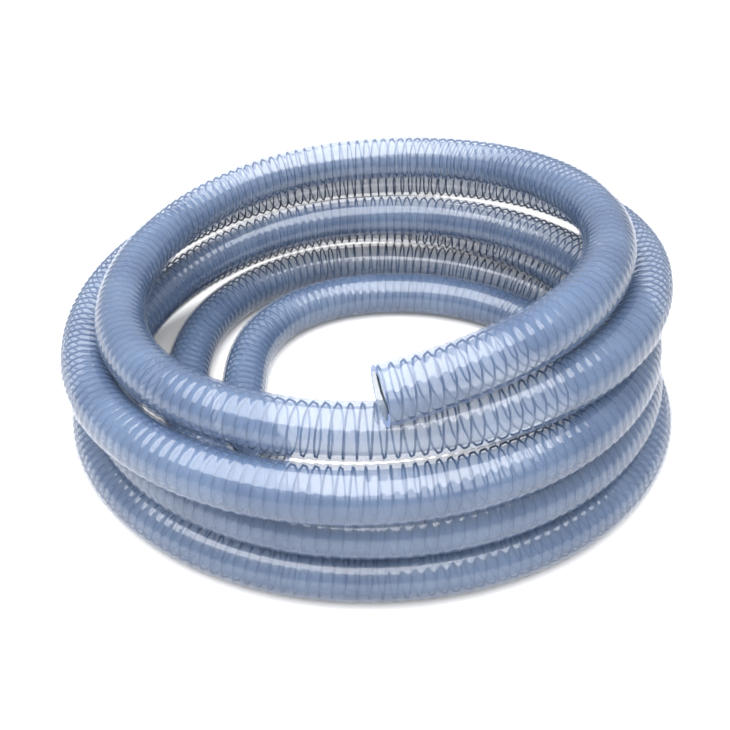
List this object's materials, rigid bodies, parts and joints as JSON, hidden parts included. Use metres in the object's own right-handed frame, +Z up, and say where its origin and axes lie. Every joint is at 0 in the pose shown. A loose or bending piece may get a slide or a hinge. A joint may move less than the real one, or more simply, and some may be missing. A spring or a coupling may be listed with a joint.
{
  "type": "coil of wire reinforced pvc hose",
  "caption": "Loose coil of clear PVC suction hose with a steel wire helix in its wall and plain cut ends.",
  "frame": {"origin": "on the floor that the coil lies on, under the middle of its outer box", "axes": "+Z up along the coil's axis, -Y towards the side that the picture is taken from, with the cut end on top"},
  "size_m": [0.4085, 0.4083, 0.161],
  "materials": {
    "clear_pvc": "gloss"
  },
  "bodies": {
    "root": {"hose_coil": "clear_pvc", "hose_cut_end": "clear_pvc", "hose_inner_end": "clear_pvc"}
  },
  "joints": []
}
